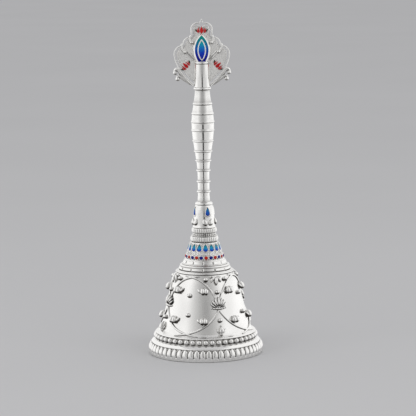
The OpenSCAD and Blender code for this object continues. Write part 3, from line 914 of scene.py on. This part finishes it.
def drop_cone():
    outline = above(cone_z, [(bore_r, 0), (10.7, 0), (10.75, 0.45), (10.35, 0.8), (10.3, 1.3), (9.1, 4.9),
                             (8.75, 6.0), (8.9, 6.4), (8.65, 6.9)])
    outline += [(8.4, lower_ring_z), (bore_r, lower_ring_z)]
    collets = Form()
    drops = Form()
    step = 360 / drop_count
    for i in range(drop_count):
        azimuth = first_drop + step * i
        place = on_cone(azimuth, drop_seat_r, drop_centre_z, drop_lean)
        loop_wire(collets, eased_drop(drop_r + 0.28, drop_h + 0.5), 0.24, place, 0.3)
        drops.dome(eased_drop(drop_r, drop_h), (0, 0.1), 0.5, 0.5, lift(place, 0.22))
        between = on_cone(azimuth + step / 2, drop_seat_r, drop_centre_z, drop_lean)
        arch = [(x, y, 0.25) for x, y in arc((0, 2.55), 0.85, -25, 205, 12)]
        collets.tube(arch, 0.17, 8, between)
        collets.ball((0, 2.45, 0.15), 0.36, between)
        collets.tube([(-0.55, -2.1, 0.2), (0, -1.5, 0.3), (0.55, -2.1, 0.2)], 0.2, 8, between)
        for part in (0.25, 0.75):
            foot = on_cone(azimuth + step * part, drop_loop_r, cone_z + 0.9, drop_lean)
            loop_wire(collets, circle(0.66, 16), 0.2, foot, 0.1)
    piece("drop_seat_cone", lathe(outline, 0.25), bright_silver, "drop_cone")
    piece("drop_collet_row", collets, relief_silver, "drop_collets")
    heights = (bottom("drop_enamels") + 0.3, top("drop_enamels"))
    blue = enamel("drop_enamel", heights, BLUE_TO_TEAL, (0.0, 0.42, 0.62))
    piece("drop_enamel_row", drops, blue, "drop_enamels")


flute_count = 34


def flutes(low, high, depth):
    """Relief of fine upright flutes round a small ring."""
    def relief(azimuth, radius, z):
        across = np.mod(azimuth * flute_count / 360, 1) * 2 - 1
        lobe = 1 - np.sqrt(np.clip(1 - 0.96 * across ** 2, 0, 1))
        band = smooth_step((z - low) / 0.5) * smooth_step((high - z) / 0.5)
        return -depth * lobe * band * (radius > relief_in)
    return relief


def fluted_ring(name, node, low, high):
    radius = reach(node)
    middle = (low + high) / 2
    half = (high - low) / 2
    outline = [(bore_r, low), (radius - 0.75 * half, low), (radius - 0.55 * half, low + 0.12 * half)]
    for degrees in range(-75, 76, 15):
        a = math.radians(degrees)
        outline.append((radius - 0.42 * half * (1 - math.cos(a)), middle + 0.86 * half * math.sin(a)))
    outline += [(radius - 0.55 * half, high - 0.12 * half), (radius - 0.75 * half, high), (bore_r, high)]
    form = lathe(outline, 0.15, 0.25, flute_count * 12, flutes(low + 0.25, high - 0.25, 0.6))
    piece(name, form, relief_silver, node, under=0.5)


def dimples(azimuth, radius, z):
    """A row of small round pits in the groove between the two fluted rings."""
    groove_r = 7.5
    pit_r = 0.58
    across = (np.mod(azimuth * flute_count / 360, 1) - 0.5) * 2 * math.pi * groove_r / flute_count
    distance = np.sqrt(across ** 2 + ((z - (collar_z + upper_ring_z) / 2) * 0.9) ** 2)
    return -0.5 * smooth_step((pit_r - distance) / 0.25) * (radius > relief_in)


def collar():
    outline = above(collar_z, [(bore_r, 0), (7.9, 0), (7.85, 0.25), (7.3, 0.4), (7.05, 0.85)])
    outline += above(upper_ring_z, [(7.0, -0.3), (7.1, 0), (bore_r, 0)])
    form = lathe(outline, 0.2, 0.15, flute_count * 12, dimples)
    piece("cavetto_ring", form, relief_silver, "cavetto_collar")


# ---------------------------------------------------------------- the knop and the grip

knop_axes = [21 + 90 * k for k in range(4)]
knop_drop_r = 1.36
knop_drop_h = 3.95
knop_drop_z = knop_z + 8.8
knop_r = 6.3
chase_r = 1.95


def knop_line(azimuth, radius, z):
    """A chased line that hangs round the lower end of each drop."""
    away = np.mod(azimuth - knop_axes[0] + 45, 90) - 45
    across = np.radians(away) * knop_r
    distance = np.abs(np.sqrt(across ** 2 + (z - knop_drop_z) ** 2) - chase_r)
    below = smooth_step((knop_drop_z - 0.3 - z) / 0.6)
    return -0.3 * smooth_step((0.34 - distance) / 0.2) * below * (radius > relief_in)


def knop():
    outline = above(knop_z, [(bore_r, 0), (6.9, 0), (7.0, 0.4), (6.8, 0.9), (6.6, 1.4), (6.45, 2.5),
                             (6.25, 5.1), (6.25, 9.1), (5.95, 11.5), (5.45, 13.1), (5.0, 13.7)])
    outline += [(4.8, grip_z), (bore_r, grip_z)]
    form = lathe(outline, 0.5, 0.2, 240, knop_line)
    leaves = Form()
    drops = Form()
    for axis in knop_axes:
        place = on_cone(axis, 6.15, knop_drop_z, 5)
        loop_wire(form, eased_drop(knop_drop_r + 0.14, knop_drop_h + 0.3), 0.2, place, 0.12)
        drops.dome(eased_drop(knop_drop_r, knop_drop_h), (0, 0.3), 0.4, 0.4, lift(place, 0.1))
        root = on_cone(axis, 6.35, knop_z + 1.7, 3)
        for side in (-1, 1):
            petal(leaves, root, (side * 0.9, -0.2), side * 30, 4.6, 1.5, 0.9, curl=-side * 18, lift=0.3,
                  peak=0.4)
    piece("knop_body", form, wall_silver, "knop")
    piece("knop_leaves", leaves, relief_silver, "knop_petals", under=1.0, dark_from=0.10)
    deep = [(0.0, (0.0, 0.002, 0.24)), (0.35, (0.0, 0.03, 0.48)), (0.65, (0.0, 0.16, 0.40)),
            (1.0, (0.0, 0.08, 0.14))]
    blue = enamel("knop_enamel", span("knop_enamels"), deep, (0.0, 0.34, 0.62))
    piece("knop_enamel_row", drops, blue, "knop_enamels")


ring_heights = [98.9, 105, 111.8, 117.7, 123.5, 129.8, 136.3, 141.4, 146.4, 152.3]
swell_z = 140.5
waist_grip_r = 3.53
swell_grip_r = 6.78
top_grip_r = 4.4
swell_below = 33    # how far the swell reaches below and above its widest height
swell_above = 22
bare_top_z = 156.5


def swell(t):
    return 0 if t >= 1 else (1 + math.cos(math.pi * t)) / 2


def grip_r(z):
    if z < swell_z:
        return waist_grip_r + (swell_grip_r - waist_grip_r) * swell((swell_z - z) / swell_below)
    return top_grip_r + (swell_grip_r - top_grip_r) * swell((z - swell_z) / swell_above)


def grip():
    outline = above(grip_z, [(bore_r, 0), (5.15, 0), (5.3, 0.35), (5.2, 1.0), (4.7, 1.45), (4.0, 1.8),
                             (3.75, 2.4), (3.65, 4.5)])
    for z in ring_heights:
        r = grip_r(z)
        ring = r + 0.32 + 0.12 * (swell_grip_r - r)
        outline += above(z, [(grip_r(z - 2.6), -2.6), (grip_r(z - 1.1), -1.1), (r - 0.05, -0.6),
                             (r - 0.22, -0.45), (ring - 0.05, -0.3), (ring, -0.05), (ring - 0.03, 0.25),
                             (r + 0.1, 0.6), (grip_r(z + 1.4), 1.4)])
    outline += [(grip_r(bare_top_z), bare_top_z)]
    outline += above(tube_z, [(4.45, -2.3), (4.5, -1.9), (4.3, -1.75), (4.95, -1.5), (5.25, -0.9),
                              (5.15, -0.3), (4.75, 0), (bore_r, 0)])
    form = Form()
    form.turned(eased(outline, 0.22, 2), 144)
    piece("ringed_grip", form, bright_silver, "handle_grip", under=1.0, dark_from=0.30)


# ---------------------------------------------------------------- the crest

tube_r = 4.7


def crest_half(inset):
    """Right half of the lobed outline, from the top of the crest down to the tube, drawn inset."""
    top_lobe = arc((2.5, 197.1), 4.15 - inset, 106, 0, 12) + [(6.55 - inset, 195.2), (6.35 - inset, 193.6)]
    middle_lobe = arc((6.8, 187.9), 4.85 - inset, 92, 0, 10)
    low_lobe = arc((11.5, 182.2), 5.45 - inset, 86, -10, 11)
    a = Vector((16.8 - inset, 180.9))
    b = Vector((15.2 - inset, 172))
    c = Vector((5.4 - inset, 162.9 + inset))
    shares = [i / 10 for i in range(1, 11)]
    sweep = [tuple((1 - t) ** 2 * a + 2 * t * (1 - t) * b + t * t * c) for t in shares]
    return top_lobe + middle_lobe + low_lobe + sweep


def crest_line(inset):
    """The whole outline from foot to foot over the pointed tip, closed along the tube."""
    half = crest_half(inset)
    tip = [(0, crest_top_z - 1.5 * inset), (0.75, crest_top_z - 1.45 - 0.9 * inset)]
    right = tip[1:] + half
    left = [(-x, z) for x, z in right]
    return left[::-1] + tip[:1] + right


def rim():
    width = 0.9
    depth = (corners("crest_rim")[1].y - corners("crest_rim")[0].y) / 2
    section = eased([(0.05, depth), (width - 0.05, depth), (width, 0), (width - 0.05, -depth), (0.05, -depth),
                     (0, 0)], 0.38, 4)
    lines = [(crest_line(inset), y) for inset, y in section]
    count = len(lines[0][0])
    rings = [[(line[k][0], y, line[k][1]) for line, y in lines] for k in range(count)]
    form = Form()
    form.loft(rings)
    piece("crest_border", form, frosted_silver, "crest_rim", crease=50)


plate_gap = 1.7
plate_front = corners("crest_plate")[0].y


def plate_outline(inset):
    """The plate's edge, with a notch under the tip."""
    half = crest_half(plate_gap + inset)
    right = [(1.1, half[0][1] - 0.15)] + [p for p in half if p[0] > 1.2]
    left = [(-x, z) for x, z in right]
    return left[::-1] + [(0, half[0][1] - 1.7 - 0.4 * inset)] + right


def flat_piece(form, outline, y_front, y_back, edge):
    """A flat plate between two depths, with its edges rounded. The outline is in the crest's plane."""
    middle_z = 182

    def ring(inset, y):
        return [(x - inset * math.copysign(1, x) * (abs(x) > 0.3), y, z + inset * (1 if z < middle_z else -1))
                for x, z in outline]
    form.loft([ring(edge, y_front), ring(0, y_front + edge), ring(0, y_back - edge), ring(edge, y_back)])


def crest_plate():
    form = Form()
    flat_piece(form, plate_outline(0), plate_front, -plate_front, 0.12)
    for side in (-1, 1):
        y = side * (abs(plate_front) + 0.02)
        for inset, r in ((0.28, 0.2), (0.85, 0.12)):
            form.tube([(x, y, z) for x, z in plate_outline(inset)], r, 8)
    piece("crest_leaf", form, plate_silver, "crest_plate", crease=30)


def strap(form, points, thicker, knob, face, side):
    """A strap on one face of the plate that thickens towards its last point and ends in a knob."""
    y = face * (abs(plate_front) + 0.2)
    out = face * 0.3
    path = [(side * x, y, z) for x, z in points]
    path[-1] = (path[-1][0], y + out, path[-1][2])
    form.tube(flowing(path), lambda along: 0.6 + thicker * along, 10)
    x, z, radius = knob
    form.ball((side * x, z, 0), radius, lambda a, b, h: (a, y + out + h, b))


upper_strap = ([(6.5, 193.2), (7.1, 191.6), (6.9, 190.2), (6.2, 189.4)], 0.25, (6.1, 189.2, 1.1))
lower_strap = ([(12.0, 188.0), (11.9, 186.1), (11.2, 184.5), (10.3, 183.8)], 0.3, (10.1, 183.6, 1.15))


def crest_ornament():
    """Straps with curls from the notches of the border, and twin ridges on the plate."""
    form = Form()
    for face in (-1, 1):
        y = face * (abs(plate_front) + 0.2)
        for side in (-1, 1):
            for points, thicker, knob in (upper_strap, lower_strap):
                strap(form, points, thicker, knob, face, side)
            for shift in (-0.5, 0.5):
                start = (side * (9.4 + shift * 0.7), y, 183.9 - shift * 0.7)
                end = (side * (4.9 + shift * 0.7), y, 179.2 - shift * 0.7)
                form.tube([start, end], 0.38, 8)
    piece("crest_straps", form, relief_silver, "crest_stems", under=0.7)


upper_scroll = [(16.2, 171.1), (16.4, 172.4), (15.4, 173.2), (14.2, 172.7), (12.9, 170.9), (11.0, 168.8),
                (8.6, 166.3), (6.2, 164.2), (4.9, 163.4)]
lower_scroll = [(14.7, 167.4), (14.9, 168.6), (13.9, 169.2), (12.8, 168.6), (11.6, 167.5), (9.6, 165.9),
                (7.4, 164.2)]


def scrolls():
    form = Form()
    for side in (-1, 1):
        for points, thin, more, ball_r in ((upper_scroll, 0.62, 0.5, 1.3), (lower_scroll, 0.55, 0.4, 1.35)):
            path = flowing([(side * x, 0, z) for x, z in points])
            form.tube(path, lambda along: thin + more * math.sin(math.pi * along), 14)
            form.ball((side * points[0][0], 0, points[0][1]), ball_r, rows=14, sides=24)
    piece("crest_curls", form, bright_silver, "crest_scrolls", under=0.8)


def crest_tube():
    ferrule_in = 3
    outline = [(ferrule_in, tube_z), (tube_r, tube_z), (tube_r, crest_collar_z), (ferrule_in, crest_collar_z)]
    piece("ferrule", lathe(outline, 0.25, count=144), bright_silver, "crest_tube")
    outline = above(crest_collar_z, [(1, 0), (4.1, 0), (4.25, 0.25), (4.75, 0.45), (4.95, 0.95)])
    outline += above(crest_base_z, [(4.75, -0.3), (4.2, 0), (1, 0)])
    piece("ferrule_collar", lathe(outline, 0.25, count=144), bright_silver, "crest_collar")


def pointed_oval(low, high, half_width):
    """A pointed oval from low to high, cut off level at the crest's collar, from the right of the cut."""
    half_h = (high - low) / 2
    middle = (high + low) / 2
    radius = (half_h ** 2 + half_width ** 2) / (2 * half_width)
    cut = max(crest_base_z, low)
    steps = 22
    right = []
    for i in range(steps + 1):
        z = cut + (high - cut) * i / steps
        right.append((half_width - radius + math.sqrt(max(radius ** 2 - (z - middle) ** 2, 0)), z))
    left = [(-x, z) for x, z in right[::-1]]
    return right + left[1:]


def oval_band(low, high, section):
    """A closed band: section lists (change of low, change of high, half width, y)."""
    form = Form()
    form.loft([[(x, y, z) for x, z in pointed_oval(low + down, high + up, half_width)]
               for down, up, half_width, y in section], loop=True)
    return form


mandorla_low = 175.6
BLUE_TO_GREEN = [(0.0, (0.0, 0.0, 0.22)), (0.25, (0.0, 0.01, 0.36)), (0.5, (0.0, 0.10, 0.46)),
                 (0.78, (0.0, 0.25, 0.33)), (1.0, (0.0, 0.32, 0.22))]
HEART_BLUE_TO_GREEN = [(0.0, (0.0, 0.0, 0.26)), (0.35, (0.0, 0.02, 0.52)), (0.62, (0.0, 0.20, 0.62)),
                       (0.85, (0.0, 0.40, 0.48)), (1.0, (0.0, 0.30, 0.26))]


def mandorla():
    low, high = mandorla_low, top("mandorla_outer_enamel")
    back = plate_front + 0.1
    front = corners("mandorla_setting")[0].y
    setting = oval_band(low, high, [
        (-2.2, 1.3, 5.6, back), (-2.0, 1.2, 5.5, back - 0.6), (-1.4, 0.9, 5.1, front + 0.7),
        (-0.9, 0.65, 4.75, front + 0.2), (-0.4, 0.35, 4.4, front), (0, 0, 4.1, front + 0.2),
        (0.1, -0.1, 4.0, front + 0.9), (0.1, -0.1, 4.0, back)])
    cap = pointed_oval(low - 2.2, high + 1.2, 5.3)
    waist_z = 179.5
    setting.loft([[(x, -back, z) for x, z in cap], [(0.97 * x, -back + 0.7, z) for x, z in cap],
                  [(0.8 * x, -back + 1.2, waist_z + 0.92 * (z - waist_z)) for x, z in cap],
                  [(0, -back + 1.5, 185)]])
    piece("mandorla_bezel", setting, frosted_silver, "mandorla_setting", crease=30)
    wire_low, wire_high = low + 2.4, top("mandorla_wire")
    inward = wire_high - high
    outer = oval_band(low, high, [
        (0, 0, 4.15, back), (0, 0, 4.12, front + 0.35), (0.7, -0.6, 3.75, front + 0.2),
        (1.5, -1.5, 3.2, front + 0.17), (2.4, inward, 2.55, front + 0.3), (2.4, inward, 2.5, back)])
    wire = oval_band(wire_low, wire_high, [
        (-0.1, 0.1, 2.62, back), (-0.1, 0.1, 2.62, front + 0.25), (0.3, -0.3, 2.36, front),
        (0.5, -0.5, 2.2, front), (0.9, -0.9, 1.92, front + 0.25), (0.9, -0.9, 1.9, back)])
    inner = Form()
    heart_low, heart_high = wire_low + 0.8, wire_high - 0.8
    inner.dome(pointed_oval(heart_low, heart_high, 2.0), (0, (wire_low + wire_high) / 2), 0.35, 1.0,
               lambda x, z, h: (x, front + 0.4 - h, z))
    blue = enamel("mandorla_blue", span("mandorla_outer_enamel"), BLUE_TO_GREEN, (0.01, 0.2, 0.5))
    piece("mandorla_outer", outer, blue, "mandorla_outer_enamel")
    piece("mandorla_cell_wire", wire, bright_silver, "mandorla_wire", crease=30)
    heart = enamel("mandorla_heart", (heart_low, heart_high), HEART_BLUE_TO_GREEN, (0.01, 0.14, 0.5))
    piece("mandorla_inner", inner, heart, "mandorla_inner_enamel")


def crest_lotus():
    red = Form()
    green = Form()
    for face in (-1, 1):
        y = face * (abs(plate_front) - 0.12)
        for x0, z0, lean in ((0, 194.6, 0), (-8.3, 174.1, -48), (8.3, 174.1, 48)):
            if face > 0 and x0 == 0:
                continue
            turn = math.radians(lean)

            def place(x, up, out, x0=x0, z0=z0, turn=turn, face=face, y=y):
                return (x0 + x * math.cos(turn) + up * math.sin(turn), y + face * out,
                        z0 + up * math.cos(turn) - x * math.sin(turn))
            petal(red, place, (0, 0), 0, 4.5, 0.98, 0.32, lift=0.12, point=1.2, peak=0.28)
            for side in (-1, 1):
                spray(red, place, side, [(1.4, 0.0, 12, 3.7, 0.4, 0.28, -20, 0.1),
                                         (2.0, 0.2, 26, 3.1, 0.3, 0.26, -30, 0.1)])
                spray(green, place, side, [(2.75, 0.9, 36, 2.2, 0.34, 0.24, -30, 0.1)])
    heights = span("crest_lotus_red")
    stops = [(0, (0.52, 0.006, 0.01)), (1, (0.62, 0.012, 0.014))]
    ruby = enamel("ruby_enamel", heights, stops, (0.7, 0.03, 0.02))
    stops = [(0, (0.012, 0.05, 0.03)), (1, (0.015, 0.07, 0.035))]
    leaf = enamel("leaf_enamel", heights, stops, (0.02, 0.1, 0.05))
    piece("lotus_red_set", red, ruby, "crest_lotus_red")
    piece("lotus_green_set", green, leaf, "crest_lotus_green")


# ---------------------------------------------------------------- the clapper

def clapper():
    ball_low = bottom("clapper_ball")
    ball_r = reach("clapper_ball")
    centre = ball_low + ball_r
    outline = [(ball_r * math.sin(math.radians(a)), centre - ball_r * math.cos(math.radians(a)))
               for a in range(0, 156, 5)]
    outline += [(2.25, centre + ball_r - 0.45), (2.2, centre + ball_r + 0.9), (1.9, top("clapper_ball")),
                (0, top("clapper_ball"))]
    form = Form()
    form.turned(outline, 96, poles=True)
    piece("clapper_bob", form, bright_silver, "clapper_ball", body="clapper")
    for node in ("clapper_fork", "clapper_stem"):
        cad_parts[node].material_slots[0].material = bright_silver
    for node in ("tie_rod", "crown_washer", "crown_nut", "clapper_pin"):
        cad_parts[node].material_slots[0].material = machined


# ---------------------------------------------------------------- studio, in metres

CAMERA_AWAY = 1.2365
CAMERA_HEIGHT = 0.2592
CAMERA_PITCH = -7.854
CAMERA_ROLL = -0.794
CAMERA_LENS = 177.6
CAMERA_SHIFT = 0.0098


def camera():
    data = bpy.data.cameras.new("camera")
    data.lens = CAMERA_LENS
    data.sensor_width = 36
    data.shift_x = CAMERA_SHIFT
    data.clip_start = 0.01
    pitch = Matrix.Rotation(math.radians(90 + CAMERA_PITCH), 4, "X")
    roll = Matrix.Rotation(math.radians(CAMERA_ROLL), 4, "Z")
    obj = show("camera", data)
    obj.matrix_world = Matrix.Translation((0, -CAMERA_AWAY, CAMERA_HEIGHT)) @ (pitch @ roll)
    bpy.context.scene.camera = obj


# How bright the tent is at each azimuth, in degrees from the front: low down, and high up.
TENT_LOW = [(0, 0.02), (7, 0.03), (11, 0.50), (60, 0.58), (88, 0.82), (120, 0.90), (150, 0.85), (180, 0.70)]
TENT_HIGH = [(0, 0.32), (14, 0.34), (34, 0.50), (56, 0.80), (80, 0.78), (120, 0.82), (150, 0.80), (180, 0.60)]
LOW_GLOW_TOP = 0.08
HIGH_GLOW_BOTTOM = 0.19
TENT_GLOW = 1.25
TENT_R = 0.62
TENT_TALL = 1.3
TABLE_R = 0.06
DARK_STRIP_X = 0.02   # the dark strip in front stands this far to the right of the middle


def tent_light():
    """The light tent's cloth: its glow changes smoothly with the azimuth and with the height."""
    n = Nodes("tent_light")
    parts = n.split()
    away = n.math("ARCTAN2", n.math("ABSOLUTE", n.math("SUBTRACT", parts["X"], DARK_STRIP_X)),
                  n.math("MULTIPLY", parts["Y"], -1.0))
    away = n.math("DIVIDE", away, math.pi)
    low = n.ramp(away, [(a / 180, (v, v, v)) for a, v in TENT_LOW])
    high = n.ramp(away, [(a / 180, (v, v, v)) for a, v in TENT_HIGH])
    share = n.add("ShaderNodeMapRange", {"Value": parts["Z"], "From Min": LOW_GLOW_TOP,
                                            "From Max": HIGH_GLOW_BOTTOM}).outputs[0]
    n.wire(n.mix(share, low, high), "Emission Color")
    n.set(Emission_Strength=TENT_GLOW, Base_Color=(0, 0, 0, 1), Specular_IOR_Level=0.0)
    return n.material


def staged(name, rings, faces, material):
    """A mesh of the studio, built from rings of points in metres."""
    mesh = bpy.data.meshes.new(name)
    mesh.from_pydata([tuple(p) for ring in rings for p in ring], [], faces)
    mesh.materials.append(material)
    obj = show(name, mesh)
    return obj


def tent():
    """A round wall of light, and its glow on the table round the bell, that only mirrors see."""
    count = 96
    lift_off = 0.001
    rings = [[round_axis(360 * i / count, radius, height) for i in range(count)]
             for radius, height in ((TABLE_R, lift_off), (TENT_R, lift_off), (TENT_R, TENT_TALL))]
    faces = [[row * count + i, row * count + (i + 1) % count, (row + 1) * count + (i + 1) % count,
              (row + 1) * count + i] for row in range(2) for i in range(count)]
    obj = staged("tent", rings, faces, tent_light())
    obj.visible_camera = False
    obj.visible_diffuse = False
    obj.visible_shadow = False


FLOOR_HALF = 14
SOFTBOX_SIZE = (1.2, 1.0)
SOFTBOX_RADIANCE = 0.9   # what a mirror would show of it
SOFTBOX_AWAY = 1.5
SOFTBOX_HEIGHT = 1.2
SOFTBOX_AIM = Vector((0, 0, 0.10))


def softbox(name, azimuth):
    """A rectangular light, high on one side, that faces the bell."""
    data = bpy.data.lights.new(name, "AREA")
    data.shape = "RECTANGLE"
    data.size, data.size_y = SOFTBOX_SIZE
    data.energy = SOFTBOX_RADIANCE * math.pi * data.size * data.size_y
    place = round_axis(azimuth, SOFTBOX_AWAY, SOFTBOX_HEIGHT)
    obj = show(name, data)
    turn = (SOFTBOX_AIM - place).to_track_quat("-Z", "Y")
    obj.matrix_world = Matrix.Translation(place) @ turn.to_matrix().to_4x4()
    obj.visible_camera = False


def studio():
    scene = bpy.context.scene
    scene.view_settings.view_transform = "Standard"
    f = FLOOR_HALF
    staged("floor", [[(-f, -f, 0), (f, -f, 0), (f, f, 0), (-f, f, 0)]], [[0, 1, 2, 3]], floor_paint())
    tent()
    softbox("key_left", -50)
    softbox("key_right", 50)
    world = bpy.data.worlds.new("studio")
    world.use_nodes = True
    world.node_tree.nodes["Background"].inputs["Color"].default_value = (0.62, 0.62, 0.63, 1)
    scene.world = world


camera()
studio()
bell_wall()
foot_band()
bead_band()
vines()
open_blossoms()
hanging_blossoms()
lily_sprays()
lotus_buds()
granules()
crown_steps()
dot_ring()
drop_cone()
fluted_ring("lower_fluted_ring", "lower_gadroon_ring", lower_ring_z, collar_z)
collar()
fluted_ring("upper_fluted_ring", "upper_gadroon_ring", upper_ring_z, knop_z)
knop()
grip()
crest_tube()
rim()
crest_plate()
crest_ornament()
scrolls()
mandorla()
crest_lotus()
clapper()
